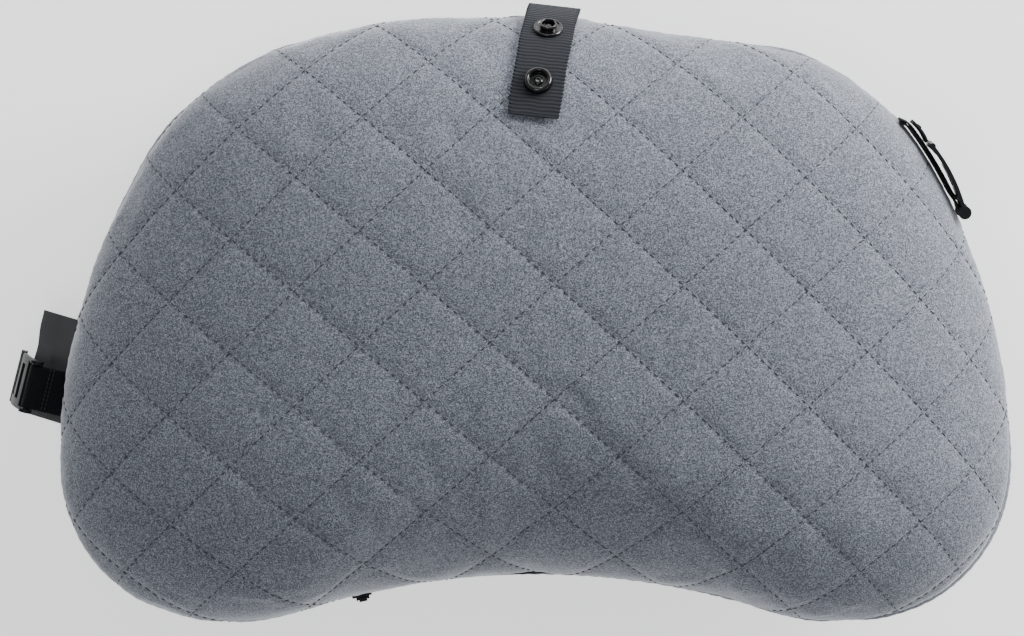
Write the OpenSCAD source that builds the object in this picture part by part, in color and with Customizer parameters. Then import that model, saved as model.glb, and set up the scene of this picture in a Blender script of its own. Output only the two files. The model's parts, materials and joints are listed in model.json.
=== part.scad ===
// Camp pillow: an inflatable bladder in a quilted, zipped, kidney-shaped cover.
// It lies on z = 0 with its quilted front up and its hollow neck edge towards -Y.

/* [Body] */
// Height of the perimeter seam above the resting face
seam_z = 48; // [42:1:54]
// Rise of the front above the perimeter seam
front_rise = 62; // [55:1:70]
// How far the round back is pressed flat by its own weight
pressed = 2; // [1:0.5:3]
// Fullness of the section: 2 is an ellipse and more is boxier
fullness = 2.4; // [2.2:0.1:2.8]
// Share by which the filling leans to the left shoulder
shoulder_lean = 0.02; // [0:0.005:0.03]

/* [Outline] */
// Distance of the hollow neck edge from the middle
neck_y = 110; // [100:1:120]
// Radius of the hollow neck edge
neck_r = 340; // [320:5:360]
// Radius where the neck edge turns into a lobe
corner_r = 100; // [90:5:110]
// Radius of each lower lobe
lobe_r = 70; // [65:1:75]
// Radius of each side
side_r = 265; // [255:5:280]
// Radius of each upper shoulder
shoulder_r = 110; // [105:5:120]
// Direction of the edge where the neck arc ends, in degrees from straight across
neck_end = -18; // [-19:1:-17]
// Direction of the edge where the corner between neck and lobe ends
corner_end = 15; // [13:1:16]
// Direction of the edge where a lobe ends: 90 is straight up
lobe_end = 90; // [88:1:92]
// Direction of the edge where a side ends and leans in
side_end = 122; // [120:1:124]
// Direction of the edge where a shoulder ends, almost back across
shoulder_end = 167; // [165:1:168]

/* [Layers] */
// Thickness of the knitted face fabric
face_t = 0.8; // [0.6:0.1:1]
// Thickness of the quilt wadding
wadding_t = 3; // [2:0.5:4]
// Thickness of the quilt lining
lining_t = 0.4; // [0.3:0.1:0.6]
// Thickness of the back panel
back_t = 0.7; // [0.5:0.1:1]
// Thickness of the bladder film
film_t = 0.5; // [0.4:0.1:0.6]
// Clear gap between two layers
layer_gap = 0.3; // [0.2:0.1:0.4]

/* [Snap tab] */
// Width of the ribbon
tab_w = 23; // [20:1:26]
// Thickness of the ribbon
tab_t = 1; // [0.8:0.1:1.2]
// Turn of the ribbon about the surface normal at its fold
tab_turn = 8.3; // [0:0.1:12]
// Sideways place of the fold
tab_x = 3.3; // [0:0.1:8]
// Clear gap between the ribbon and the front
tab_gap = 1.6; // [1.5:0.1:2.5]
// Radius of a snap part
snap_r = 6.5; // [6:0.5:7]

/* [Straps] */
// Width of the strap webbing
strap_w = 20; // [18:1:20]
// Thickness of the doubled webbing
strap_t = 2.2; // [2:0.1:2.4]
// Width of a strap hook
hook_w = 24; // [24:1:26]
// Length of a strap hook between its two bars
hook_l = 33; // [32:1:34]
// Thickness of a strap hook's plate
hook_t = 1.8; // [1.6:0.1:2]

/* [Label] */
// Length of the care label along the seam
label_w = 47.5; // [40:0.5:50]
// Length of the care label out from the seam
label_l = 24; // [20:1:26]

/* [Zip] */
// Half of the angle that the zip opening takes on the neck edge
zip_half = 14.6; // [14.4:0.1:14.6]
// Angle from the middle of the zip to the slider at its closed end
zip_park = 13.3; // [13:0.1:13.4]

/* [Valve] */
// Outer radius of the valve tube
valve_r = 5.2; // [5:0.1:5.3]
// Radius of the valve cap
cap_r = 9; // [8:0.5:9.5]

/* [Hidden] */
$fn = 64;

back_depth = seam_z + pressed;
rim_gap = 0.15;
bladder_gap = face_t + wadding_t + lining_t + 3 * layer_gap + 0.6;
graphite = [0.46, 0.48, 0.52];
charcoal = [0.12, 0.13, 0.14];
black = [0.04, 0.04, 0.05];

// ---- Outline: tangent arcs from the middle of the neck edge to the middle of the crown.
// Each arc is [radius, direction of the edge at its end, steps]. It turns to the side that its end lies on.
ARCS = [
    [neck_r, neck_end, 6],
    [corner_r, corner_end, 3],
    [lobe_r, lobe_end, 6],
    [side_r, side_end, 7],
    [shoulder_r, shoulder_end, 5]
];
crown_steps = 5;

function arc_points(arc, from, heading) = [
    for (i = [1 : arc[2]])
        let (now = heading + (arc[1] - heading) * i / arc[2])
        from + arc[0] * sign(arc[1] - heading) * [sin(now) - sin(heading), cos(heading) - cos(now)]
];
function chain(arcs, from, heading, n = 0) =
    n == len(arcs) ? [] :
    let (made = arc_points(arcs[n], from, heading))
    concat(made, chain(arcs, made[len(made) - 1], arcs[n][1], n + 1));

FLANK = chain(ARCS, [0, -neck_y], 0);
crown_from = FLANK[len(FLANK) - 1];
crown_r = crown_from.x / sin(shoulder_end);
CROWN = arc_points([crown_r, 180, crown_steps], crown_from, shoulder_end);
HALF = concat([[0, -neck_y]], FLANK, CROWN);
top = len(HALF) - 1;

// The filling leans to the left shoulder between 40 and 90 degrees above the middle.
function lean_at(a) = a > 40 && a < 90 ? pow(sin(180 * (a - 40) / 50), 2) : 0;
function leaned(p) = p * (1 - sign(p.x) * shoulder_lean * lean_at(atan2(p.y, abs(p.x))));
RIM = [for (p = concat(HALF, [for (i = [top - 1 : -1 : 1]) [-HALF[i].x, HALF[i].y]])) leaned(p)];
around = len(RIM);

// ---- Section: rings that rise from the rim to the middle, as angles on a fuller ellipse.
LIFT = [0, 11, 26, 36, 46, 56, 66, 76, 90];
rings = len(LIFT) - 1;
function spread(a) = pow(max(cos(a), 0), 2 / fullness);
function front_z(a, gap) = seam_z + rim_gap + (front_rise - rim_gap - gap) * sin(a);
function back_z(a, gap) = max(seam_z - rim_gap - (back_depth - rim_gap - gap) * sin(a), gap);
function level(front, a, gap) = front ? front_z(a, gap) : back_z(a, gap);
// gap is [in plan, in height], measured inwards from the outside of the pillow.
function skin_point(front, i, a, gap) =
    let (r = RIM[i % around], flat = r * (1 - gap[0] / norm(r)) * spread(a))
    [flat.x, flat.y, level(front, a, gap[1])];
function skin(front, gap) = concat(
    [for (k = [0 : rings - 1]) for (i = [0 : around - 1]) skin_point(front, i, LIFT[k], gap)],
    [[0, 0, level(front, 90, gap[1])]]
);

// A closed shell between two skins. Cells in holes, as [ring, place round the rim], are left open.
module shell(front, outer, inner, holes = []) {
    inside = around * rings + 1;
    apex = around * rings;
    function kept(k, i) = k >= 0 && len([for (h = holes) if (h[0] == k && h[1] == i % around) 1]) == 0;
    function at(k, i) = k * around + (i + around) % around;
    function wall(p, q) = [[p, q, q + inside], [p, q + inside, p + inside]];
    function cell(k, i) =
        let (a = at(k, i), b = at(k, i + 1), c = at(k + 1, i + 1), d = at(k + 1, i))
        concat(
            [[a, d, c], [a, c, b], [a + inside, b + inside, c + inside], [a + inside, c + inside, d + inside]],
            kept(k - 1, i) ? [] : wall(a, b),
            kept(k, i + 1) ? [] : wall(b, c),
            kept(k + 1, i) ? [] : wall(c, d),
            kept(k, i + around - 1) ? [] : wall(d, a)
        );
    cells = [for (k = [0 : rings - 2]) for (i = [0 : around - 1]) if (kept(k, i)) each cell(k, i)];
    cap = [
        for (i = [0 : around - 1])
            let (a = at(rings - 1, i), b = at(rings - 1, i + 1))
            each [[a, apex, b], [a + inside, b + inside, apex + inside]]
    ];
    turned = [for (f = concat(cells, cap)) front ? f : [f[2], f[1], f[0]]];
    polyhedron(concat(skin(front, outer), skin(front, inner)), turned);
}
function both(gap) = [gap, gap];

// ---- Cover
wadding_in = face_t + layer_gap;
lining_in = wadding_in + wadding_t + layer_gap;
zip_cells = 5;
ZIP_HOLES = [for (i = [-zip_cells : zip_cells - 1]) [0, (i + around) % around]];
valve_cell = 14;
VALVE_HOLE = [[1, valve_cell]];

module cover_front_face() {
    color(graphite) shell(true, both(0), both(face_t));
}

module cover_front_wadding() {
    color("white") shell(true, both(wadding_in), both(wadding_in + wadding_t));
}

module cover_front_lining() {
    color("gainsboro") shell(true, both(lining_in), both(lining_in + lining_t));
}

module cover_back_panel() {
    color(graphite * 0.9) shell(false, both(0), both(back_t), concat(ZIP_HOLES, VALVE_HOLE));
}

// ---- Zip: concentric with the neck edge, a little below the seam.
zip_z = seam_z - 4.95;
zip_slope = 9;
coil_w = 1.1;
coil_slit = 0.25;
slider_l = 9;
function arc_angle(length) = length / neck_r * 180 / PI;

// Sweeps a flat section along the neck edge. Its x points into the pillow and its y up the zip.
module along_neck(from, to) {
    translate([0, -neck_y - neck_r, zip_z])
        rotate([0, 0, 90 + from])
            rotate_extrude(angle = to - from, $fn = 360)
                translate([neck_r + 0.8, 0])
                    rotate(zip_slope)
                        children();
}

module zip_tape_upper() {
    color(charcoal) along_neck(-zip_half, zip_half)
        translate([0.1, 1.55])
            square([0.6, 3]);
}

module zip_tape_lower() {
    color(charcoal) along_neck(-zip_half, zip_half)
        translate([0.1, -4.5])
            square([0.6, 2.95]);
}

module zip_coil() {
    for (side = [-1, 1])
        color(black) along_neck(-zip_half + 0.5, zip_half - 0.5)
            translate([-0.4, side * (coil_slit + coil_w / 2) - coil_w / 2])
                square([1.3, coil_w]);
}

module zip_stops() {
    for (end = [-1, 1])
        color(black) along_neck(end * (zip_half - 0.25) - 0.18, end * (zip_half - 0.25) + 0.18)
            translate([-0.6, -1.35])
                square([1.7, 2.7]);
}

// The slider is parked at the closed end, on the left.
module at_slider() {
    translate([0, -neck_y - neck_r, zip_z])
        rotate([0, 0, 90 + zip_park])
            translate([neck_r + 0.8, 0, 0])
                rotate([0, -zip_slope, 0])
                    children();
}

bail_out = 3.4;
module zip_slider() {
    half = arc_angle(slider_l) / 2;
    color(black) {
        along_neck(zip_park - half, zip_park + half) {
            translate([-1.7, -3.2])
                square([1.05, 6.4]);
            translate([-0.7, -0.12])
                square([1.9, 0.24]);
            translate([1.15, -3])
                square([0.7, 6]);
        }
        at_slider() {
            for (side = [-1, 1])
                translate([-bail_out - 0.5, side * 2.6 - 0.4, -0.6])
                    cube([bail_out - 0.9, 0.8, 1.2]);
            translate([-bail_out, 0, 0])
                rotate([90, 0, 0])
                    cylinder(r = 0.5, h = 5.2, center = true);
        }
    }
}

// The pull hangs straight down from the slider's bail.
module zip_pull() {
    color(black) at_slider()
        translate([-bail_out, 0, 0])
            rotate([0, zip_slope, 0]) {
                rotate([90, 0, 0])
                    difference() {
                        cylinder(r = 1.5, h = 3.6, center = true);
                        cylinder(r = 0.6, h = 5, center = true);
                    }
                difference() {
                    translate([-0.6, -2.6, -17])
                        cube([1.2, 5.2, 15.9]);
                    translate([0, 0, -13.5])
                        rotate([0, 90, 0])
                            cylinder(r = 1.3, h = 4, center = true);
                }
            }
}

// ---- Bladder
module bladder_top_skin() {
    color("slategray") shell(true, both(bladder_gap), both(bladder_gap + film_t));
}

bladder_back_gap = back_t + 0.6;
module bladder_bottom_skin() {
    color("slategray")
        shell(false, [bladder_gap, bladder_back_gap], [bladder_gap + film_t, bladder_back_gap + film_t],
              VALVE_HOLE);
}

// A kidney-shaped web at one ring, from the bottom skin to the top skin.
module baffle(k, clear = 0.3, web_t = 0.6) {
    a = LIFT[k];
    low = back_z(a, bladder_back_gap + film_t) + clear;
    high = front_z(a, bladder_gap + film_t) - clear;
    function ring(more) = [
        for (r = RIM) r * (1 - (bladder_gap + film_t + more) / norm(r)) * spread(a)
    ];
    translate([0, 0, low])
        linear_extrude(high - low)
            difference() {
                polygon(ring(0.3));
                polygon(ring(0.3 + web_t / spread(a)));
            }
}

module bladder_baffles() {
    vent = 16;
    color("lightsteelblue")
        difference() {
            union() {
                baffle(4);
                baffle(6);
            }
            for (turn = [0, 90])
                rotate([0, 0, turn])
                    cube([500, vent, 300], center = true);
        }
}

// ---- Valve, square to the back where the round right lobe faces out and down
valve_corners = [for (k = [1, 2]) for (i = [0, 1]) skin_point(false, valve_cell + i, LIFT[k], both(0))];
valve_at = (valve_corners[0] + valve_corners[1] + valve_corners[2] + valve_corners[3]) / 4;
valve_out = cross(valve_corners[1] - valve_corners[2], valve_corners[3] - valve_corners[0]);
bore_r = valve_r - 1.2;
flange_r = valve_r + 5;
rosette_r = 11.5;
tube_top = 2.6;
module at_valve() {
    out = valve_out.z > 0 ? -valve_out : valve_out;
    translate(valve_at)
        rotate([0, acos(out.z / norm(out)), atan2(out.y, out.x)])
            children();
}

// Tube with an inner flange and a seat that narrows it for the flap
module valve_housing() {
    color(charcoal) at_valve()
        rotate_extrude()
            polygon([
                [bore_r, tube_top], [valve_r, tube_top], [valve_r, -1.6], [flange_r, -1.6], [flange_r, -2.3],
                [valve_r, -2.3], [valve_r, -6], [bore_r, -6], [bore_r, -2], [bore_r - 0.9, -2],
                [bore_r - 0.9, -1.2], [bore_r, -1.2]
            ]);
}

module valve_flap() {
    color("gray") at_valve()
        translate([0, 0, -2.6])
            cylinder(r = bore_r - 0.25, h = 0.5);
}

// Trim ring that covers the buttonhole in the back panel
module valve_rosette() {
    color(black) at_valve()
        rotate_extrude()
            polygon([
                [valve_r + 0.1, 0.6], [rosette_r, 0.6], [rosette_r, 1], [rosette_r - 0.9, 1.5],
                [valve_r + 0.1, 1.5]
            ]);
}

module valve_cap() {
    plug_r = bore_r - 0.4;
    color(black) at_valve() {
        rotate_extrude()
            polygon([
                [0, 0.4], [plug_r - 0.4, 0.4], [plug_r, 0.8], [plug_r, tube_top + 0.15],
                [cap_r - 0.5, tube_top + 0.15], [cap_r, tube_top + 0.6], [cap_r, tube_top + 1.7],
                [cap_r - 0.7, tube_top + 2.2], [3, tube_top + 2.2], [2.4, tube_top + 1.8], [0, tube_top + 1.8]
            ]);
        for (turn = [-25 : 10 : 25])
            rotate([0, 0, turn])
                translate([cap_r - 0.3, -0.4, tube_top + 0.4])
                    cube([0.8, 0.8, 1.5]);
    }
}

// ---- Snap tab: a ribbon that leaves the crown seam and lies on the front.
// Places along it are the same angles as LIFT.
fold_a = 31.2;
tab_end_a = 50.4;
STUD_SPAN = [14.1, 25.3];
SOCKET_SPAN = [36.7, 45.3];
root_bulge = 2.4;
root_a = 18;
function tab_point(a, out) =
    let (gap = tab_gap + root_bulge * pow(max(0, 1 - a / root_a), 2) + out)
    [(RIM[top].y + gap) * spread(a), seam_z + (front_rise + gap) * sin(a)];
// The ribbon's section between two angles is straight under a snap.
BASE_STOPS = [0, 3, 6.5, 10, STUD_SPAN[0], STUD_SPAN[1], 28.5, fold_a - 0.2];
FLAP_STOPS = [fold_a + 0.2, 34, SOCKET_SPAN[0], SOCKET_SPAN[1], 48, tab_end_a];
fold_at = tab_point(fold_a, tab_t / 2);
function slope_over(from, to) =
    let (p = tab_point(from, tab_t), q = tab_point(to, tab_t))
    atan2(q.y - p.y, p.x - q.x);
fold_slope = slope_over(fold_a - 1, fold_a + 1);

module on_tab() {
    translate([tab_x, fold_at.x, fold_at.y])
        rotate(a = -tab_turn, v = [0, sin(fold_slope), cos(fold_slope)])
            translate([0, -fold_at.x, -fold_at.y])
                children();
}

module at_snap(span) {
    centre = (tab_point(span[0], tab_t) + tab_point(span[1], tab_t)) / 2;
    on_tab()
        translate([0, centre.x, centre.y])
            rotate([-slope_over(span[0], span[1]), 0, 0])
                children();
}

module ribbon(stops, span) {
    last = len(stops) - 1;
    difference() {
        on_tab()
            rotate([90, 0, 90])
                linear_extrude(tab_w, center = true)
                    polygon(concat(
                        [for (a = stops) tab_point(a, 0)],
                        [for (n = [last : -1 : 0]) tab_point(stops[n], tab_t)]
                    ));
        at_snap(span)
            cylinder(r = 1.6, h = 8, center = true);
    }
}

module snap_tab_base() {
    color(charcoal) ribbon(BASE_STOPS, STUD_SPAN);
}

module snap_tab_flap() {
    color(charcoal) ribbon(FLAP_STOPS, SOCKET_SPAN);
}

// Male half: a flange with a raised rim and a hollow collar
module snap_stud() {
    color(black) at_snap(STUD_SPAN)
        rotate_extrude()
            polygon([
                [1.55, 0.05], [snap_r - 0.4, 0.05], [snap_r, 0.45], [snap_r, 1.1], [snap_r - 0.4, 1.5],
                [snap_r - 1, 1.4], [snap_r - 1.4, 1], [3.7, 1], [3.85, 2.9], [3.6, 3.5], [3, 3.5],
                [2.7, 3.1], [2.7, 1], [1.55, 1]
            ]);
}

// Female half: a deep round cup
module snap_socket() {
    color(black) at_snap(SOCKET_SPAN)
        rotate_extrude()
            polygon([
                [1.55, 0.05], [snap_r - 0.5, 0.05], [snap_r, 0.6], [snap_r, 1.4], [snap_r - 0.6, 3],
                [snap_r - 1.1, 3.4], [4.6, 3.4], [4.1, 2.9], [4.2, 0.9], [1.55, 0.9]
            ]);
}

// Rivet: a flat rear cap, a post through the ribbon and its spread end
module rivet() {
    color(black)
        rotate_extrude()
            polygon([
                [0, -tab_t - 0.85], [5.4, -tab_t - 0.85], [6, -tab_t - 0.5], [6, -tab_t - 0.05],
                [1.45, -tab_t - 0.05], [1.45, 1.1], [2.1, 1.1], [2.1, 1.5], [1.2, 2], [0, 1.6]
            ]);
}

module snap_stud_rivet() {
    at_snap(STUD_SPAN) rivet();
}

module snap_socket_rivet() {
    at_snap(SOCKET_SPAN) rivet();
}

// ---- Strap hooks. A hook is drawn from its hinge bar along +X, bowed towards +Y, its bars along Z.
bar_r = 1.4;
eye_r = 3;
loop_r = 2.7;
hook_rise = 1.2;
hook_bow = 1.8;
function bow(x) = hook_rise * x / hook_l + 4 * hook_bow * (x / hook_l) * (1 - x / hook_l);

module hook() {
    arm = (hook_w - strap_w) / 2 - 0.4;
    inner_w = hook_w - 2 * arm;
    step = hook_l / 12;
    color(black) {
        difference() {
            union() {
                linear_extrude(hook_w, center = true)
                    polygon(concat(
                        [for (x = [0 : step : hook_l + 0.01]) [x, bow(x) - hook_t / 2]],
                        [for (x = [hook_l : -step : -0.01]) [x, bow(x) + hook_t / 2]]
                    ));
                cylinder(r = eye_r, h = hook_w, center = true);
                translate([hook_l, hook_rise, 0])
                    cylinder(r = 1.5, h = hook_w, center = true);
            }
            // Slot that the webbing passes through
            translate([-5, -5, -inner_w / 2])
                cube([12.5, 10, inner_w]);
            // Middle slot
            translate([12, -5, -hook_w / 2 + 4])
                cube([5.5, 12, hook_w - 8]);
            // Mouth, open on one side
            translate([22.5, -5, -hook_w / 2 + 4])
                cube([6, 12, hook_w]);
        }
        cylinder(r = bar_r, h = hook_w, center = true);
    }
}

// Frame on the rim between places i and i + 1: +X along the edge, clockwise, and +Y straight out.
module on_rim(i, yaw = 0) {
    edge = RIM[i] - RIM[i + 1];
    middle = (RIM[i] + RIM[i + 1]) / 2;
    translate([middle.x, middle.y, seam_z])
        rotate([0, 0, atan2(edge.y, edge.x) + yaw])
            children();
}

// Right side: the strap lies along the pillow and its hook is folded back over it.
right_place = 21;
strap_bend = 180;
strap_clear = 0.8;
strap_root_x = -25;
strap_bar_x = 21;
root_block = 11;
function bend_angle(x) = asin(x / strap_bend);
right_bar_r = strap_bend + eye_r;

module on_bend(x, r = 0) {
    translate([0, strap_clear - strap_bend, 0])
        rotate([0, 0, -bend_angle(x)])
            translate([0, r, 0])
                children();
}

module band(from, to, low, high, width) {
    on_bend(to)
        rotate([0, 0, 90])
            rotate_extrude(angle = bend_angle(to) - bend_angle(from), $fn = 180)
                translate([strap_bend + low, -width / 2])
                    square([high - low, width]);
}

module right_strap() {
    color(charcoal) on_rim(right_place)
        difference() {
            union() {
                band(strap_root_x, strap_bar_x - 2, 0, strap_t, strap_w);
                band(strap_root_x + 0.5, strap_root_x + root_block, 1, 4.4, strap_w - 1);
                on_bend(strap_bar_x, right_bar_r)
                    cylinder(r = loop_r, h = strap_w, center = true);
            }
            on_bend(strap_bar_x, right_bar_r)
                cylinder(r = bar_r + 0.1, h = 30, center = true);
        }
}

module right_hook() {
    on_rim(right_place)
        on_bend(strap_bar_x, right_bar_r)
            rotate([0, 180, 0])
                rotate([0, 0, -bend_angle(hook_l / 2)])
                    hook();
}

// Left side: the strap stands straight out of the seam and its hook hangs from it.
left_place = 47;
left_yaw = -7.5;
left_bar = [15, 2];
left_root = 2.6;
hook_lean = 12;

module left_strap() {
    rise = atan2(left_bar[1], left_bar[0] - left_root);
    color(charcoal) on_rim(left_place, left_yaw)
        rotate([90, 0, 90])
            difference() {
                union() {
                    translate([left_root, 0, -strap_w / 2])
                        rotate([0, 0, rise])
                            translate([0, -strap_t / 2, 0])
                                cube([left_bar[0] - left_root - 2, strap_t, strap_w]);
                    translate([left_bar[0], left_bar[1], 0])
                        cylinder(r = loop_r, h = strap_w, center = true);
                }
                translate([left_bar[0], left_bar[1], 0])
                    cylinder(r = bar_r + 0.1, h = 30, center = true);
            }
}

module left_hook() {
    on_rim(left_place, left_yaw)
        rotate([90, 0, 90])
            translate([left_bar[0], left_bar[1], 0])
                rotate([0, 0, hook_lean - 90])
                    hook();
}

// ---- Care label, blank, hanging out of the seam under the left strap
label_place = 46;
label_root = [1.3, -2.6];
label_drop = 52;
label_t = 0.4;

module care_label() {
    edge_middle = RIM[label_place + 1];
    edge = RIM[label_place] - RIM[label_place + 2];
    color(black)
        translate([edge_middle.x, edge_middle.y, seam_z])
            rotate([0, 0, atan2(edge.y, edge.x)])
                rotate([90, 0, 90])
                    translate([label_root[0], label_root[1], -label_w / 2])
                        rotate([0, 0, -label_drop])
                            translate([0, -label_t, 0])
                                cube([label_l, label_t, label_w]);
}

cover_front_face();
cover_front_wadding();
cover_front_lining();
cover_back_panel();
zip_tape_upper();
zip_tape_lower();
zip_coil();
zip_stops();
zip_slider();
zip_pull();
bladder_top_skin();
bladder_bottom_skin();
bladder_baffles();
valve_housing();
valve_flap();
valve_rosette();
valve_cap();
snap_tab_base();
snap_tab_flap();
snap_stud();
snap_stud_rivet();
snap_socket();
snap_socket_rivet();
left_strap();
left_hook();
right_strap();
right_hook();
care_label();
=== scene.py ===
"""Camp pillow: the looks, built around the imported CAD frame. Metres, row frame."""
import json
import math

import bmesh
import bpy
import numpy as np
from mathutils import Matrix, Vector
from mathutils.kdtree import KDTree


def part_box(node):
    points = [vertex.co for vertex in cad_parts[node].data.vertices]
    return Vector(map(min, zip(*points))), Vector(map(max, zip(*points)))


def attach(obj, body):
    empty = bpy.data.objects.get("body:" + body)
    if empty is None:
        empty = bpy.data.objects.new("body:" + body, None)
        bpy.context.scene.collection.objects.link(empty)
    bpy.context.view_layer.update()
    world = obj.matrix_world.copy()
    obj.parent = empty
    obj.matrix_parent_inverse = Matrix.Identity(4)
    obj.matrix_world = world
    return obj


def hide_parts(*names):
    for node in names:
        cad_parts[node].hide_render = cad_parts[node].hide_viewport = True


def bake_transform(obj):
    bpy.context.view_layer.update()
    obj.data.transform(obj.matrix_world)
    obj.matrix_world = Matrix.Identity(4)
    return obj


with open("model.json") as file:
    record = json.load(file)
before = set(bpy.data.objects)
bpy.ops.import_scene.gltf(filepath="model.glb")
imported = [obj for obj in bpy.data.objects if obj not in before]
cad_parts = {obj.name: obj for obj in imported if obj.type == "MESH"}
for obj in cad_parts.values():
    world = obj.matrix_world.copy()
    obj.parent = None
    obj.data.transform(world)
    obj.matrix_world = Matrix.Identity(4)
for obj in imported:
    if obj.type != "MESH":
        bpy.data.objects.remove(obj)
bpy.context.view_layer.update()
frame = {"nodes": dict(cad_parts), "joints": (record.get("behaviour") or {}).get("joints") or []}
NODES = frame["nodes"]
JOINTS = {j["name"]: j for j in frame["joints"]}
MM = 0.001
rng = np.random.default_rng(7)


# ---------------------------------------------------------------- helpers
def corners(mesh):
    """Every vertex of a mesh, one row each."""
    co = np.zeros(len(mesh.vertices) * 3, np.float32)
    mesh.vertices.foreach_get("co", co)
    return co.reshape(-1, 3)


def points(node):
    """Unique vertices of a CAD node."""
    return np.unique(np.round(corners(NODES[node].data).astype(float), 6), axis=0)


def add_object(name, data):
    """A new object in the scene."""
    o = bpy.data.objects.new(name, data)
    bpy.context.scene.collection.objects.link(o)
    return o


def joint_pos(name):
    return np.array(JOINTS[name]["pos_m"], float)


def joint_axis(name):
    a = np.array(JOINTS[name]["axis"], float)
    return a / np.linalg.norm(a)


def unit(v):
    v = np.asarray(v, float)
    return v / np.maximum(np.linalg.norm(v, axis=-1, keepdims=True), 1e-12)


def run_length(line):
    """How far along a line each of its points lies."""
    return np.concatenate([[0], np.cumsum(np.linalg.norm(np.diff(line, axis=0), axis=1))])


def soften(line, times):
    """Evens out a line where it stands, except for its ends."""
    for _ in range(times):
        line[1:-1] = (line[:-2] + 2 * line[1:-1] + line[2:]) / 4


def place(o, body, slot, *nodes):
    """Says which body the piece rides on and hides the CAD nodes that it stands for. slot is not used."""
    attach(o, body)
    if nodes:
        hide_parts(*nodes)


def smoothstep(lo, hi, x):
    t = np.clip((np.asarray(x, float) - lo) / (hi - lo), 0, 1)
    return t * t * (3 - 2 * t)


def mesh_object(name, verts, faces, materials=(), smooth=True):
    me = bpy.data.meshes.new(name)
    me.from_pydata(np.asarray(verts, float).tolist(), [], [list(map(int, f)) for f in faces])
    me.validate()
    me.update()
    o = add_object(name, me)
    for m in materials:
        me.materials.append(m)
    me.polygons.foreach_set("use_smooth", [bool(smooth)] * len(me.polygons))
    return o


def grid_faces(n, m, flip=False, wrap_rows=False):
    """Quads of an n by m grid of vertices in row order."""
    i, j = np.meshgrid(np.arange(n if wrap_rows else n - 1), np.arange(m - 1), indexing="ij")
    a = (i * m + j).ravel()
    b = (((i + 1) % n) * m + j).ravel()
    f = np.stack([a, b, b + 1, a + 1], 1)
    return f[:, ::-1] if flip else f


def store(o, name, values):
    """Keeps three numbers per vertex for the materials."""
    at = o.data.attributes.new(name, "FLOAT_VECTOR", "POINT")
    at.data.foreach_set("vector", np.asarray(values, np.float32).ravel())


WELD = 2e-6          # vertices closer than this become one, in metres
FLAT_ANGLE = 0.6     # faces that meet at less than this become one, in degrees


def fitting(node, body, slot, bevel, limit, segments=2):
    """A copy of a moulded CAD part with welded faces, rounded edges and smooth shading.

    bevel is in mm. limit is the angle, in degrees, above which an edge is rounded.
    """
    name = node + "_moulded"
    me = NODES[node].data.copy()
    me.name = name
    bm = bmesh.new()
    bm.from_mesh(me)
    bmesh.ops.remove_doubles(bm, verts=bm.verts, dist=WELD)
    bmesh.ops.dissolve_limit(bm, angle_limit=math.radians(FLAT_ANGLE), verts=bm.verts,
                             edges=bm.edges)
    sharp = [e for e in bm.edges if len(e.link_faces) == 2 and e.calc_face_angle(0) > math.radians(limit)]
    bmesh.ops.bevel(bm, geom=sharp, offset=bevel * MM, segments=segments, profile=0.5,
                    affect="EDGES", clamp_overlap=True)
    bmesh.ops.recalc_face_normals(bm, faces=bm.faces)
    bm.to_mesh(me)
    bm.free()
    me.materials.clear()
    me.materials.append(M[slot])
    for p in me.polygons:
        p.use_smooth = True
    if "custom_normal" in me.attributes:
        me.attributes.remove(me.attributes["custom_normal"])
    o = add_object(name, me)
    mod = o.modifiers.new("normals", "WEIGHTED_NORMAL")
    mod.keep_sharp = False
    mod.weight = 80
    place(o, body, slot, node)


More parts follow.
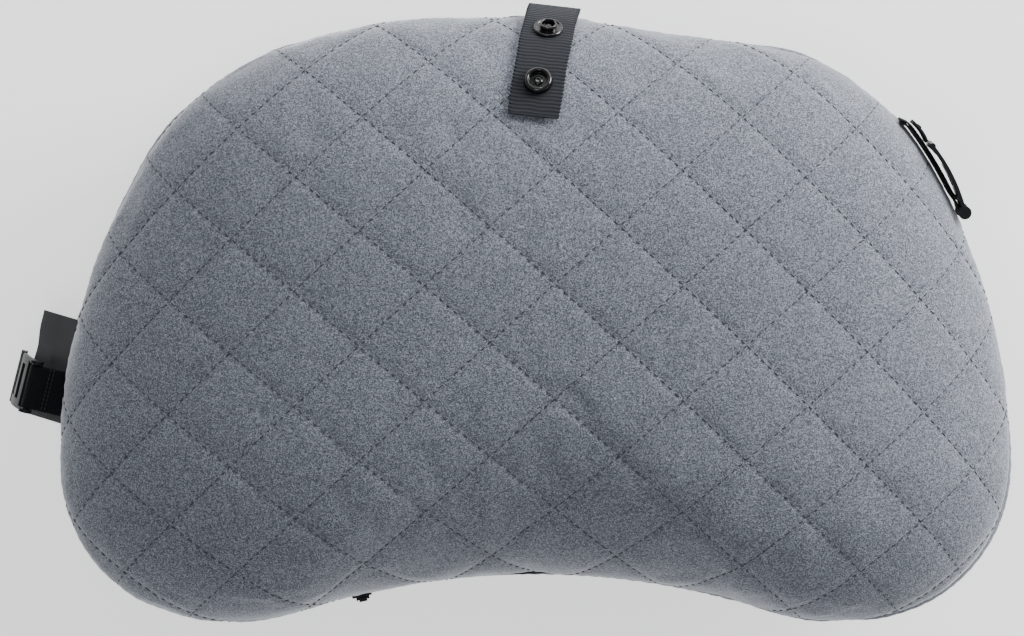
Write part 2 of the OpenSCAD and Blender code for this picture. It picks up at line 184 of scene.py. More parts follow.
# ---------------------------------------------------------------- materials
class Tree:
    """A short way to write node materials."""

    def __init__(self, name):
        self.m = bpy.data.materials.new(name)
        self.m.use_nodes = True
        self.t = self.m.node_tree
        self.t.nodes.clear()
        self.out = self.t.nodes.new("ShaderNodeOutputMaterial")
        self.b = self.t.nodes.new("ShaderNodeBsdfPrincipled")
        self.t.links.new(self.b.outputs[0], self.out.inputs[0])
        self.object = self.node("ShaderNodeTexCoord").outputs["Object"]

    def node(self, kind, **values):
        n = self.t.nodes.new(kind)
        for k, v in values.items():
            setattr(n, k, v)
        return n

    def put(self, socket, value):
        if isinstance(value, bpy.types.NodeSocket):
            self.t.links.new(value, socket)
        else:
            socket.default_value = value

    def math(self, op, a, b=0.0, c=0.0, clamp=False):
        n = self.node("ShaderNodeMath", operation=op, use_clamp=clamp)
        for s, v in zip(n.inputs, (a, b, c)):
            self.put(s, v)
        return n.outputs[0]

    def noise(self, scale, detail=2.0, rough=0.5, vector=None, distortion=0.0):
        n = self.node("ShaderNodeTexNoise")
        self.put(n.inputs["Vector"], vector or self.object)
        self.put(n.inputs["Scale"], scale)
        self.put(n.inputs["Detail"], detail)
        self.put(n.inputs["Roughness"], rough)
        self.put(n.inputs["Distortion"], distortion)
        return n.outputs["Fac"]

    def voronoi(self, scale, vector=None, output="Distance"):
        n = self.node("ShaderNodeTexVoronoi")
        self.put(n.inputs["Vector"], vector or self.object)
        self.put(n.inputs["Scale"], scale)
        return n.outputs[output]

    def ramp(self, fac, stops):
        n = self.node("ShaderNodeValToRGB")
        while len(n.color_ramp.elements) < len(stops):
            n.color_ramp.elements.new(0.5)
        for e, (p, c) in zip(n.color_ramp.elements, stops):
            e.position = p
            e.color = (*c, 1)
        self.put(n.inputs[0], fac)
        return n.outputs[0]

    def mix(self, fac, a, b, blend="MIX"):
        n = self.node("ShaderNodeMix", data_type="RGBA", blend_type=blend)
        self.put(n.inputs["Factor"], fac)
        self.put(n.inputs["A"], (*a, 1) if isinstance(a, tuple) else a)
        self.put(n.inputs["B"], (*b, 1) if isinstance(b, tuple) else b)
        return n.outputs["Result"]

    def scaled(self, scale):
        n = self.node("ShaderNodeMapping")
        self.put(n.inputs["Vector"], self.object)
        n.inputs["Scale"].default_value = scale
        return n.outputs[0]

    def attribute(self, name):
        return self.node("ShaderNodeAttribute", attribute_name=name).outputs["Vector"]

    def split(self, vector):
        n = self.node("ShaderNodeSeparateXYZ")
        self.put(n.inputs[0], vector)
        return n.outputs

    def bump(self, height, strength, distance, normal=None):
        n = self.node("ShaderNodeBump")
        n.inputs["Strength"].default_value = strength
        n.inputs["Distance"].default_value = distance
        self.put(n.inputs["Height"], height)
        if normal is not None:
            self.put(n.inputs["Normal"], normal)
        return n.outputs[0]

    def finish(self, color, rough, normal=None, **values):
        self.put(self.b.inputs["Base Color"], (*color, 1) if isinstance(color, tuple) else color)
        self.put(self.b.inputs["Roughness"], rough)
        if normal is not None:
            self.put(self.b.inputs["Normal"], normal)
        for k, v in values.items():
            self.put(self.b.inputs[k.replace("_", " ")], v)
        return self.m


def heather(name, dark, mid, light, sheen=0.85):
    """Brushed heather knit: salt-and-pepper fibres, faint cross ribs, and the shader's sheen for its fuzz."""
    t = Tree(name)
    fibre = t.noise(2300, 2.0, 0.6, distortion=0.3)
    fleck = t.split(t.voronoi(2300, output="Color"))[0]
    salt = t.math("ADD", t.math("MULTIPLY", fibre, 0.72), t.math("MULTIPLY", fleck, 0.28))
    color = t.ramp(salt, [(0.32, dark), (0.5, mid), (0.7, light)])
    patch = t.noise(55, 3.0, 0.6)
    color = t.mix(t.ramp(patch, [(0.3, (0, 0, 0)), (0.7, (0.35, 0.35, 0.35))]), color,
                  t.mix(1.0, color, (1.22, 1.22, 1.22), "MULTIPLY"))
    rib = t.noise(1.0, 1.0, 0.5, vector=t.scaled((120, 740, 740)))
    loops = t.noise(900, 2.0, 0.55)
    soft = t.noise(38, 2.0, 0.5)
    normal = t.bump(loops, 0.55, 0.0004)
    normal = t.bump(rib, 0.25, 0.0003, normal)
    normal = t.bump(soft, 0.35, 0.0012, normal)
    return t.finish(color, 0.88, normal, Sheen_Weight=sheen, Sheen_Roughness=0.4,
                    Sheen_Tint=(0.92, 0.95, 1.0, 1.0), Specular_IOR_Level=0.15)


def woven(name, dark, light, pitch, gloss=0.62, diagonal=0.0, bump=0.0003, sheen=0.15, shine=0.35):
    """Woven tape from the weave coordinates that the piece keeps: along, across and side, in metres."""
    t = Tree(name)
    along, across, side = t.split(t.attribute("weave"))
    s = t.math("ADD", along, t.math("MULTIPLY", across, diagonal))
    warp = t.math("SINE", t.math("MULTIPLY", across, 2 * math.pi / (pitch * 0.8)))
    weft = t.math("SINE", t.math("MULTIPLY", s, 2 * math.pi / pitch))
    cell = t.math("MULTIPLY", t.math("ABSOLUTE", warp), t.math("ABSOLUTE", weft))
    grain = t.noise(2600, 2.0, 0.6)
    height = t.math("ADD", cell, t.math("MULTIPLY", grain, 0.35))
    fac = t.math("ADD", t.math("MULTIPLY", cell, 0.6), t.math("MULTIPLY", grain, 0.45), clamp=True)
    color = t.ramp(fac, [(0.12, dark), (0.85, light)])
    return t.finish(color, gloss, t.bump(height, 0.7, bump), Sheen_Weight=sheen, Sheen_Roughness=0.4,
                    Specular_IOR_Level=shine)


def grosgrain(name, dark, light):
    """Ribbed ribbon: the ribs are in the mesh, and fine warp threads run across them. The rib height also
    paints the colour darker in the valleys between the ribs and lighter on their crests, as painted shade.
    """
    t = Tree(name)
    along, across, side = t.split(t.attribute("weave"))
    warp = t.math("SINE", t.math("MULTIPLY", across, 2 * math.pi / 0.00042))
    grain = t.noise(2200, 2.0, 0.6)
    # painted shade: the colour follows the mesh's rib height, darker in the rib valleys and lighter on the
    # crests
    rib = t.math("MULTIPLY_ADD", side, 0.5, 0.25)
    fac = t.math("ADD", rib, t.math("MULTIPLY_ADD", grain, 0.5, -0.12), clamp=True)
    color = t.ramp(fac, [(0.05, dark), (0.95, light)])
    height = t.math("ADD", t.math("MULTIPLY", warp, 0.5), grain)
    return t.finish(color, 0.62, t.bump(height, 0.5, 0.00016), Sheen_Weight=0.08, Sheen_Roughness=0.35,
                    Sheen_Tint=(0.85, 0.9, 1.0, 1.0), Specular_IOR_Level=0.15)


def moulded(name, base, rough=0.3, grain=0.35, scale=900, coat=0.0, wear=(0.05, 0.052, 0.058), shine=0.5):
    """Moulded plastic: fine skin texture, slight gloss change, edges polished paler by handling."""
    t = Tree(name)
    n = t.noise(scale, 3.0, 0.6)
    broad = t.noise(160, 2.0, 0.5)
    geo = t.node("ShaderNodeNewGeometry")
    edge = t.ramp(geo.outputs["Pointiness"], [(0.5, (0, 0, 0)), (0.58, (1, 1, 1))])
    color = t.mix(t.math("MULTIPLY", edge, 0.5), tuple(base), tuple(wear))
    color = t.mix(t.math("MULTIPLY", broad, 0.25), color, tuple(x * 1.6 for x in base))
    r = t.math("MULTIPLY_ADD", broad, 0.16, rough - 0.08)
    return t.finish(color, r, t.bump(n, grain, 0.00006), Coat_Weight=coat, Coat_Roughness=0.08,
                    Specular_IOR_Level=shine)


WEB_PITCH = 0.0016  # one pick of the webbing's weave

M = {
    "quilt_knit": heather("quilt_knit", (0.04, 0.044, 0.056), (0.13, 0.141, 0.168),
                          (0.32, 0.342, 0.385)),
    "back_knit": heather("back_knit", (0.045, 0.05, 0.062), (0.12, 0.13, 0.155),
                         (0.25, 0.27, 0.305), sheen=0.5),
    "webbing": woven("webbing", (0.001, 0.001, 0.0015), (0.009, 0.0095, 0.012), WEB_PITCH, gloss=0.75,
                     diagonal=0.9, sheen=0.02, shine=0.12),
    "zip_tape": woven("zip_tape", (0.012, 0.013, 0.016), (0.06, 0.063, 0.07), 0.0007, bump=0.0001),
    "ribbon": grosgrain("ribbon", (0.002, 0.0023, 0.003), (0.024, 0.0265, 0.033)),
    "hardware_black": moulded("hardware_black", (0.005, 0.0055, 0.0065), 0.4, grain=0.15,
                              wear=(0.016, 0.017, 0.02), shine=0.14),
    "valve_plastic": moulded("valve_plastic", (0.024, 0.025, 0.028), 0.42),
    "zip_nylon": moulded("zip_nylon", (0.014, 0.014, 0.017), 0.38),
    "snap_black": moulded("snap_black", (0.002, 0.002, 0.0025), 0.12, grain=0.03, coat=0.3,
                          wear=(0.006, 0.006, 0.007), shine=0.35),
}


def grainy(name, grain, low, high, gloss, relief, high_at=0.7, distortion=0.0, **values):
    """Colour and relief both follow one noise. grain holds its scale, detail and roughness."""
    t = Tree(name)
    n = t.noise(*grain, distortion=distortion)
    color = t.ramp(n, [(0.3, low), (high_at, high)])
    return t.finish(color, gloss, t.bump(n, *relief), **values)


def lining_material():
    t = Tree("lining")
    s = t.split(t.object)
    a, b = (t.math("SINE", t.math("MULTIPLY", s[k], 9000)) for k in (0, 1))
    cell = t.math("MULTIPLY", a, b)
    color = t.ramp(t.math("MULTIPLY_ADD", cell, 0.5, 0.5),
                   [(0.1, (0.42, 0.43, 0.45)), (0.9, (0.56, 0.57, 0.59))])
    return t.finish(color, 0.55, t.bump(cell, 0.3, 0.0001))


def film_material():
    t = Tree("bladder_film")
    s = t.scaled((1700, 1700, 1700))
    emboss = t.voronoi(1.0, vector=s)
    creases = t.noise(26, 5.0, 0.55, distortion=1.2)
    color = t.ramp(creases, [(0.3, (0.17, 0.21, 0.27)), (0.7, (0.25, 0.3, 0.37))])
    normal = t.bump(creases, 0.4, 0.002)
    normal = t.bump(emboss, 0.3, 0.0001, normal)
    return t.finish(color, 0.4, normal, Coat_Weight=0.15)


def satin_material():
    t = Tree("label_satin")
    along, across, side = t.split(t.attribute("weave"))
    float_ = t.math("SINE", t.math("MULTIPLY", along, 2 * math.pi / 0.00055))
    drift = t.noise(220, 3.0, 0.6)
    fac = t.math("ADD", t.math("MULTIPLY_ADD", float_, 0.2, 0.25), t.math("MULTIPLY", drift, 0.5),
                 clamp=True)
    color = t.ramp(fac, [(0.1, (0.002, 0.0023, 0.003)), (0.9, (0.009, 0.01, 0.014))])
    return t.finish(color, 0.42, t.bump(t.math("ADD", float_, drift), 0.35, 0.0001), Anisotropic=0.5,
                    Sheen_Weight=0.03, Sheen_Tint=(0.8, 0.87, 1.0, 1.0), Specular_IOR_Level=0.16)


M.update(
    thread=grainy("quilt_thread", (3000, 2.0, 0.6), (0.006, 0.007, 0.01), (0.03, 0.032, 0.04), 0.55,
                  (0.5, 0.0001), high_at=0.75),
    wadding=grainy("wadding", (420, 6.0, 0.75), (0.55, 0.55, 0.54), (0.84, 0.84, 0.82), 0.95,
                   (0.9, 0.001), distortion=0.6, Sheen_Weight=0.3),
    valve_rubber=grainy("valve_rubber", (700, 3.0, 0.6), (0.2, 0.2, 0.2), (0.29, 0.29, 0.29), 0.5,
                        (0.3, 0.0001), Subsurface_Weight=0.1),
    lining=lining_material(), bladder_film=film_material(), label_satin=satin_material())


# ---------------------------------------------------------------- the pillow's form, from the CAD's rim
def rim_points():
    p = points("cover_front_face")
    p = p[np.abs(p[:, 2] - p[:, 2].min()) < 5e-5]
    r = np.hypot(p[:, 0], p[:, 1])
    near = np.linalg.norm(p[:, None, :2] - p[None, :, :2], axis=2) < 0.003
    outer = [i for i in range(len(p)) if not (near[i] & (r > r[i] + 1e-4)).any()]
    p = p[outer]
    return p[np.argsort(np.arctan2(p[:, 1], p[:, 0]))][:, :2]


RIM = rim_points()
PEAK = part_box("cover_front_face")[1].z
SEAM = (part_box("cover_front_face")[0].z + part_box("cover_back_panel")[1].z) / 2
POWER = 2 / 2.4              # how full the pillow's section is
BACK_DEPTH = SEAM + 0.002    # the underside's depth before the ground flattens it
REACH = 0.165                # the middle's typical distance from the rim, for lengths along the cloth


class Loop:
    """A smooth closed curve through the rim, by share of its length from the far left, anticlockwise."""

    def __init__(self, pts):
        n = len(pts)
        d = np.linalg.norm(np.roll(pts, -1, 0) - pts, axis=1)
        self.t = np.concatenate([[0], np.cumsum(d)])
        self.p = np.vstack([pts, pts[:1]])
        a = np.zeros((n, n))
        rhs = np.zeros((n, 2))
        for i in range(n):
            h0, h1 = d[i - 1], d[i]
            a[i, i - 1] += h0
            a[i, i] += 2 * (h0 + h1)
            a[i, (i + 1) % n] += h1
            rhs[i] = 6 * ((pts[(i + 1) % n] - pts[i]) / h1 - (pts[i] - pts[i - 1]) / h0)
        k = np.linalg.solve(a, rhs)
        self.k = np.vstack([k, k[:1]])
        self.length = self.t[-1]

    def at(self, share):
        s = (np.asarray(share, float) % 1.0) * self.length
        i = np.clip(np.searchsorted(self.t, s, side="right") - 1, 0, len(self.t) - 2)
        h = (self.t[i + 1] - self.t[i])[..., None]
        a = (self.t[i + 1] - s)[..., None] / h
        b = 1 - a
        return (a * self.p[i] + b * self.p[i + 1]
                + ((a ** 3 - a) * self.k[i] + (b ** 3 - b) * self.k[i + 1]) * h * h / 6)


LOOP = Loop(RIM)


def spread(a):
    return np.maximum(np.cos(a), 0) ** POWER


def arc_table(depth):
    a = np.linspace(0, math.pi / 2, 3001)
    x, z = REACH * spread(a), depth * np.sin(a)
    seg = np.hypot(np.diff(x), np.diff(z))
    return a, np.concatenate([np.cumsum(seg[::-1])[::-1], [0]])


A_FRONT, L_FRONT = arc_table(PEAK - SEAM)
A_BACK, L_BACK = arc_table(BACK_DEPTH)


def seam_rise(xy):
    """How far the sewn seam rides up onto the front along the lower and the lower right edge."""
    x, y = xy[..., 0], xy[..., 1]
    low = smoothstep(-0.02, -0.075, y)
    return 0.0052 * low * smoothstep(-0.05, 0.03, x)


def disk(n):
    """A square grid bent into a disk: share round the rim, and distance from the middle."""
    u = np.linspace(-1, 1, n + 1)
    uu, vv = np.meshgrid(u, u, indexing="ij")
    dx, dy = uu * np.sqrt(1 - vv * vv / 2), vv * np.sqrt(1 - uu * uu / 2)
    rho = np.clip(np.hypot(dx, dy), 0, 1)
    rho[(np.abs(uu) == 1) | (np.abs(vv) == 1)] = 1.0
    share = (np.arctan2(dy, dx) + math.pi) / (2 * math.pi)
    return share, rho


def front_form(n):
    share, rho = disk(n)
    o = LOOP.at(share)
    a0 = np.arcsin(seam_rise(o) / (PEAK - SEAM))
    whole = np.interp(a0, A_FRONT, L_FRONT)
    length = rho * whole
    a = np.interp(-length, -L_FRONT, A_FRONT)
    xy = o * spread(a)[..., None]
    z = SEAM + (PEAK - SEAM) * np.sin(a)
    flat = o * (length / REACH)[..., None]
    return np.concatenate([xy, z[..., None]], 2), flat, a, share, whole - length


def back_form(n):
    share, rho = disk(n)
    o = LOOP.at(share)
    a0 = np.arcsin(seam_rise(o) / (PEAK - SEAM))
    over = np.interp(0, A_FRONT, L_FRONT) - np.interp(a0, A_FRONT, L_FRONT)
    whole = L_BACK[0] + over
    length = rho * whole
    below = np.interp(-np.minimum(length, L_BACK[0]), -L_BACK, A_BACK)
    above = np.interp(-(L_FRONT[0] - np.maximum(length - L_BACK[0], 0)), -L_FRONT, A_FRONT)
    up = length > L_BACK[0]
    s = np.where(up, spread(above), spread(below))
    z = np.where(up, SEAM + (PEAK - SEAM) * np.sin(above), SEAM - BACK_DEPTH * np.sin(below))
    z = np.maximum(z, 0.0004)
    xy = o * s[..., None]
    return np.concatenate([xy, z[..., None]], 2), np.where(up, above, -below), share, whole - length


def grid_normals(p):
    du = np.gradient(p, axis=0)
    dv = np.gradient(p, axis=1)
    normals = unit(np.cross(du, dv))
    # at the grid's four corners both directions run along the rim, so the next point's normal is used
    for row, next_row in ((0, 1), (-1, -2)):
        for column, next_column in ((0, 1), (-1, -2)):
            normals[row, column] = normals[next_row, next_column]
    return normals


def facing(p, upwards):
    """The faces of a square grid, all turned up or all down. Its middle decides, as its corners are flat."""
    n = len(p)
    mid = n // 2
    middle = p[mid, mid]
    turned_up = np.cross(p[mid + 1, mid] - middle, p[mid, mid + 1] - middle)[2] > 0
    faces = grid_faces(n, n)
    return faces if turned_up == upwards else faces[:, ::-1]


def finer(g, k):
    """A grid of values with k times as many cells, by Catmull-Rom."""
    def one(v):
        n = len(v)
        pad = np.concatenate([[2 * v[0] - v[1]], v, [2 * v[-1] - v[-2]]])
        t = np.linspace(0, n - 1, (n - 1) * k + 1)
        i = np.minimum(t.astype(int), n - 2)
        f = (t - i).reshape((-1,) + (1,) * (v.ndim - 1))
        p0, p1, p2, p3 = pad[i], pad[i + 1], pad[i + 2], pad[i + 3]
        return 0.5 * (2 * p1 + (p2 - p0) * f + (2 * p0 - 5 * p1 + 4 * p2 - p3) * f ** 2
                      + (3 * p1 - p0 - 3 * p2 + p3) * f ** 3)
    g = one(g)
    return np.swapaxes(one(np.swapaxes(g, 0, 1)), 0, 1)


# ---------------------------------------------------------------- quilting lattice
# Diagonal rows of stitching, drawn on the flat cloth: lines where column + row or column - row is odd.
CELL_WIDE, CELL_HIGH = 0.057, 0.051  # a quilted diamond from corner to corner
MIDDLE_X = 0.0085                    # the middle diamond lies a little to the right
SAG = 0.3                            # how much the rows droop towards the sides, per metre
SLACK = 0.12                         # how much wider the diamonds get towards the left, per metre


def lattice(flat):
    """Half diamonds across and up from the middle diamond."""
    x, y = flat[..., 0] - MIDDLE_X, flat[..., 1]
    return 2 * (x + SLACK * x * x) / CELL_WIDE, -2 * (y + SAG * x * x) / CELL_HIGH


def to_line(v):
    """Distance from the nearest odd number, 0 to 1."""
    return np.abs(v % 2 - 1)


# half of the distance between two neighbouring lines, in mm
HALF = CELL_WIDE * CELL_HIGH / math.hypot(CELL_WIDE, CELL_HIGH) / 2 / MM


def puff(flat):
    c, r = lattice(flat)
    f1, f2 = to_line(c + r), to_line(c - r)
    broad = (np.sin(f1 * math.pi / 2) * np.sin(f2 * math.pi / 2)) ** 0.62
    d1, d2 = f1 * HALF, f2 * HALF
    groove = np.maximum(np.exp(-(d1 / 1.5) ** 2), np.exp(-(d2 / 1.5) ** 2))
    return broad, groove


def quilt_shape(flat, from_seam):
    broad, groove = puff(flat)
    fade = 0.45 + 0.55 * smoothstep(0.002, 0.03, from_seam)
    return (-0.5 * (1 - broad) - 0.3 * groove) * fade * MM


def neck_crease(p):
    """A soft crease where the front turns down into the neck hollow."""
    across = np.exp(-((p[..., 0] + 0.002) / 0.009) ** 2)
    return -0.0011 * across * smoothstep(-0.062, -0.09, p[..., 1])


# ---------------------------------------------------------------- cloth simulation of the whole cover
COARSE = 76  # cells along each side of the simulated cloth
FRAMES = 20  # length of the simulation


def attachments(p):
    """1 on free fabric, 0 where a fitting is sewn on, so that the cloth keeps clear of it."""
    free = np.ones(p.shape[:-1])
    for node, margin in (("snap_tab_base", 0.006), ("snap_tab_flap", 0.006), ("right_strap", 0.008),
                         ("left_strap", 0.01), ("care_label", 0.006), ("right_hook", 0.006),
                         ("valve_rosette", 0.009), ("zip_tape_upper", 0.006), ("zip_tape_lower", 0.006)):
        lo, hi = (np.array(v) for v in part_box(node))
        d = np.maximum(np.maximum(lo - p, p - hi), 0)
        if node.startswith("zip"):
            side = np.maximum(np.abs(p[..., 0]) - hi[0], 0)
            d = np.concatenate([d[..., 1:], side[..., None]], -1)
        free = np.minimum(free, smoothstep(margin * 0.3, margin * 1.6, np.linalg.norm(d, axis=-1)))
    return free


def simulate(front, back, flat):
    """Inflates the sewn cover a little over its bladder, held at its seam and along its quilting lines."""
    n = COARSE + 1
    nf = n * n
    index = np.arange(nf).reshape(n, n)
    edge = np.zeros((n, n), bool)
    edge[0], edge[-1], edge[:, 0], edge[:, -1] = True, True, True, True
    back_index = np.where(edge, index, nf + np.cumsum(~edge.ravel()).reshape(n, n) - 1)
    verts = np.vstack([front.reshape(-1, 3), back.reshape(-1, 3)[~edge.ravel()]])
    f = grid_faces(n, n)
    g = back_index.ravel()[grid_faces(n, n, flip=True)]
    o = mesh_object("cover_sim", verts, np.vstack([f, g]))
    c, r = lattice(flat)
    d = np.minimum(to_line(c + r), to_line(c - r)) * HALF
    hold = np.exp(-(d / 3.2) ** 2)
    hold = np.maximum(hold, 1 - attachments(front))
    hold[edge] = 1
    hold_back = np.maximum(1 - attachments(back), smoothstep(0.006, 0.002, back[..., 2]))
    weight = np.concatenate([hold.ravel(), hold_back.ravel()[~edge.ravel()]])
    group = o.vertex_groups.new(name="held")
    for i, w in enumerate(weight):
        group.add([i], float(min(1.0, max(0.0, w))), "REPLACE")
    mod = o.modifiers.new("cloth", "CLOTH")
    s = mod.settings
    s.quality = 5
    s.mass = 0.3
    s.tension_stiffness = s.compression_stiffness = 22
    s.shear_stiffness = 12
    s.bending_stiffness = 0.35
    s.use_pressure = True
    s.uniform_pressure_force = 3.0
    s.shrink_min = -0.012
    s.vertex_group_mass = "held"
    s.pin_stiffness = 0.9
    s.effector_weights.gravity = 0
    mod.collision_settings.use_self_collision = False
    mod.point_cache.frame_start, mod.point_cache.frame_end = 1, FRAMES
    for k in range(1, FRAMES + 1):
        bpy.context.scene.frame_set(k)
    e = o.evaluated_get(bpy.context.evaluated_depsgraph_get())
    moved = corners(e.data).astype(float) - verts
    bpy.context.scene.frame_set(1)
    bpy.data.objects.remove(o)
    out_front = moved[:nf].reshape(n, n, 3)
    out_back = moved[back_index.ravel()].reshape(n, n, 3)
    return out_front, out_back


def tame(move, cap, free):
    """Evens out a displacement, limits it, and fades it out near the fittings."""
    for _ in range(2):
        m = move.copy()
        m[1:-1, 1:-1] = (4 * move[1:-1, 1:-1] + move[:-2, 1:-1] + move[2:, 1:-1]
                         + move[1:-1, :-2] + move[1:-1, 2:]) / 8
        move = m
    size = np.linalg.norm(move, axis=-1, keepdims=True)
    return move * (cap * np.tanh(size / cap) / np.maximum(size, 1e-9)) * free[..., None]


front, flat = front_form(COARSE)[:2]
back = back_form(COARSE)[0]
move_f, move_b = simulate(front, back, flat)
print("cloth moved, mm: front", round(float(np.linalg.norm(move_f, axis=-1).max() * 1000), 2),
      "back", round(float(np.linalg.norm(move_b, axis=-1).max() * 1000), 2))
move_f = tame(move_f, 0.0005, attachments(front))
move_b = tame(move_b, 0.0030, attachments(back))
edge_ = np.ones((COARSE + 1, COARSE + 1), bool)
edge_[1:-1, 1:-1] = False
move_f[edge_] = 0
move_b[edge_] = 0


def keep_out(move, normals, depth):
    """Limits how far a displacement goes inwards, so that the cover stays outside its bladder."""
    outward = np.sum(move * normals, axis=-1, keepdims=True)
    return move + normals * np.maximum(0, -depth - outward)


def seam_dip(t, depth=2.3, width=3.4):
    """The valley that a sewn seam pulls into a full cover."""
    return -depth * np.exp(-(t / (width * MM)) ** 2) * MM


def puckers(share, t, amount=0.22):
    s = share * LOOP.length
    wave = np.sin(2 * math.pi * s / 0.0062 + 1.3 * np.sin(2 * math.pi * s / 0.041))
    return amount * wave * np.exp(-t / 0.0055) * smoothstep(0, 0.0015, t) * MM


# front at four times the grid, back at twice
def dense(form, move, k):
    base = form(COARSE * k)
    return base, finer(move, k)


(F, F_flat, _, F_share, F_t), F_move = dense(front_form, move_f, 4)
F_normal = grid_normals(F)
if F_normal[len(F) // 2, len(F) // 2, 2] < 0:
    F_normal = -F_normal
free_f = attachments(F)
lift = quilt_shape(F_flat, F_t) + puckers(F_share, F_t) + seam_dip(F_t) * free_f
lift = lift + neck_crease(F)
SURFACE = F + F_move + F_normal * lift[..., None]
cover_front = mesh_object("cover_front", SURFACE.reshape(-1, 3), facing(SURFACE, True), [M["quilt_knit"]])
place(cover_front, "pillow", "quilt_knit", "cover_front_face")


def inner_layer(name, node, slot, inset, thick, follow):
    """A quilt layer under the face, following its quilting by a share."""
    k = 2
    form = front_form(COARSE * k)
    nrm = grid_normals(form[0])
    if nrm[COARSE, COARSE, 2] < 0:
        nrm = -nrm
    up = (quilt_shape(form[1], form[4]) + seam_dip(form[4]) + neck_crease(form[0])) * follow - inset
    p = form[0] + finer(move_f, k) + nrm * up[..., None]
    p[..., 2] = np.maximum(p[..., 2], SEAM + 0.0003)
    o = mesh_object(name, p.reshape(-1, 3), facing(p, True), [M[slot]])
    s = o.modifiers.new("layer", "SOLIDIFY")
    s.thickness, s.offset = thick, -1
    place(o, "pillow", slot, node)


inner_layer("quilt_wadding", "cover_front_wadding", "wadding", 0.0011, 0.0026, 1.0)
inner_layer("quilt_lining", "cover_front_lining", "lining", 0.0043, 0.0004, 0.3)

(B, B_a, B_share, B_t), B_move = dense(back_form, move_b, 2)
B_normal = grid_normals(B)
if B_normal[len(B) // 2, len(B) // 2, 2] > 0:
    B_normal = -B_normal
B_move = keep_out(B_move, B_normal, 0.0005)
B_lift = puckers(B_share, B_t, 0.3) + seam_dip(B_t) * attachments(B)
# soft folds where the back spreads from the ground contact to the seam
s_mm = B_share * LOOP.length * 1000
fold = np.sin(s_mm / 19.0) * np.sin(s_mm / 47.0 + 1.1) * np.exp(-((B_a + 0.75) / 0.32) ** 2)
B_lift = B_lift + 0.0011 * fold * attachments(B)
BACK = B + B_move + B_normal * B_lift[..., None]
BACK[..., 2] = np.maximum(BACK[..., 2], 0.0003)
cover_back = mesh_object("cover_back", BACK.reshape(-1, 3), facing(BACK, False), [M["back_knit"]])


def open_zip(o):
    """Cuts the zip's opening out of the back and turns its edge inwards as a hem."""
    lo_l, hi_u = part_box("zip_tape_lower")[0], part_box("zip_tape_upper")[1]
    centre = np.array(JOINTS["zip_slide"]["pos_m"])[:2]
    half = math.asin(hi_u[0] / (hi_u[1] - centre[1])) + 0.004
    z0, z1 = lo_l[2] - 0.0002, hi_u[2] + 0.0002
    bm = bmesh.new()
    bm.from_mesh(o.data)

    def angle(p):
        return math.atan2(p.x - centre[0], p.y - centre[1])

    def near():
        fs = [f for f in bm.faces if f.calc_center_median().y < -0.09
              and abs(angle(f.calc_center_median())) < half + 0.03
              and z0 - 0.006 < f.calc_center_median().z < z1 + 0.006]
        return list({e for f in fs for e in f.edges} | {v for f in fs for v in f.verts} | set(fs))

    for z in (z0, z1):
        bmesh.ops.bisect_plane(bm, geom=near(), plane_co=(0, 0, z), plane_no=(0, 0, 1), dist=1e-6)
    for side in (-1, 1):
        bmesh.ops.bisect_plane(bm, geom=near(), plane_co=(centre[0], centre[1], 0),
                               plane_no=(math.cos(half), -side * math.sin(half), 0), dist=1e-6)
    gone = [f for f in bm.faces if f.calc_center_median().y < -0.09
            and abs(angle(f.calc_center_median())) < half
            and z0 < f.calc_center_median().z < z1]
    bmesh.ops.delete(bm, geom=gone, context="FACES")
    rim = [e for e in bm.edges if e.is_boundary
           and all(abs(angle(v.co)) < half + 0.01 and v.co.y < -0.09 and z0 - 1e-4 < v.co.z < z1 + 1e-4
                   for v in e.verts)]
    made = bmesh.ops.extrude_edge_only(bm, edges=rim)["geom"]
    for v in (g for g in made if isinstance(g, bmesh.types.BMVert)):
        out = Vector((v.co.x - centre[0], v.co.y - centre[1], 0)).normalized()
        v.co += out * 0.0021
    # the cuts leave the faces in an order that changes from run to run, so they get a fixed one
    bm.verts.index_update()
    verts = [v.co[:] for v in bm.verts]
    faces = sorted([v.index for v in f.verts] for f in bm.faces)
    bm.free()
    o.data.clear_geometry()
    o.data.from_pydata(verts, [], faces)
    o.data.polygons.foreach_set("use_smooth", [True] * len(o.data.polygons))
    return centre


ZIP_C = open_zip(cover_back)
NECK_R = max(y for x, y in RIM if abs(x) < 0.001 and y < 0) - ZIP_C[1]
place(cover_back, "pillow", "back_knit", "cover_back_panel")


# ---------------------------------------------------------------- running stitch
class Tubes:
    """Many short six-sided threads in one mesh."""
    sides = 6

    def __init__(self):
        self.v, self.f = [], []

    def add(self, path, radii, normal):
        path = np.asarray(path, float)
        tangent = unit(np.gradient(path, axis=0))
        side = unit(np.cross(tangent, normal))
        up = np.cross(side, tangent)
        ang = np.arange(self.sides) * 2 * math.pi / self.sides
        base = len(self.v)
        for p, s, u, r in zip(path, side, up, radii):
            for a in ang:
                self.v.append(p + r * (math.cos(a) * s + math.sin(a) * u))
        k = self.sides
        for i in range(len(path) - 1):
            for j in range(k):
                q = base + i * k
                self.f.append((q + j, q + (j + 1) % k, q + k + (j + 1) % k, q + k + j))
        self.f.append(tuple(base + j for j in range(k))[::-1])
        self.f.append(tuple(base + (len(path) - 1) * k + j for j in range(k)))

    def make(self, name, material):
        return mesh_object(name, self.v, self.f, [material])


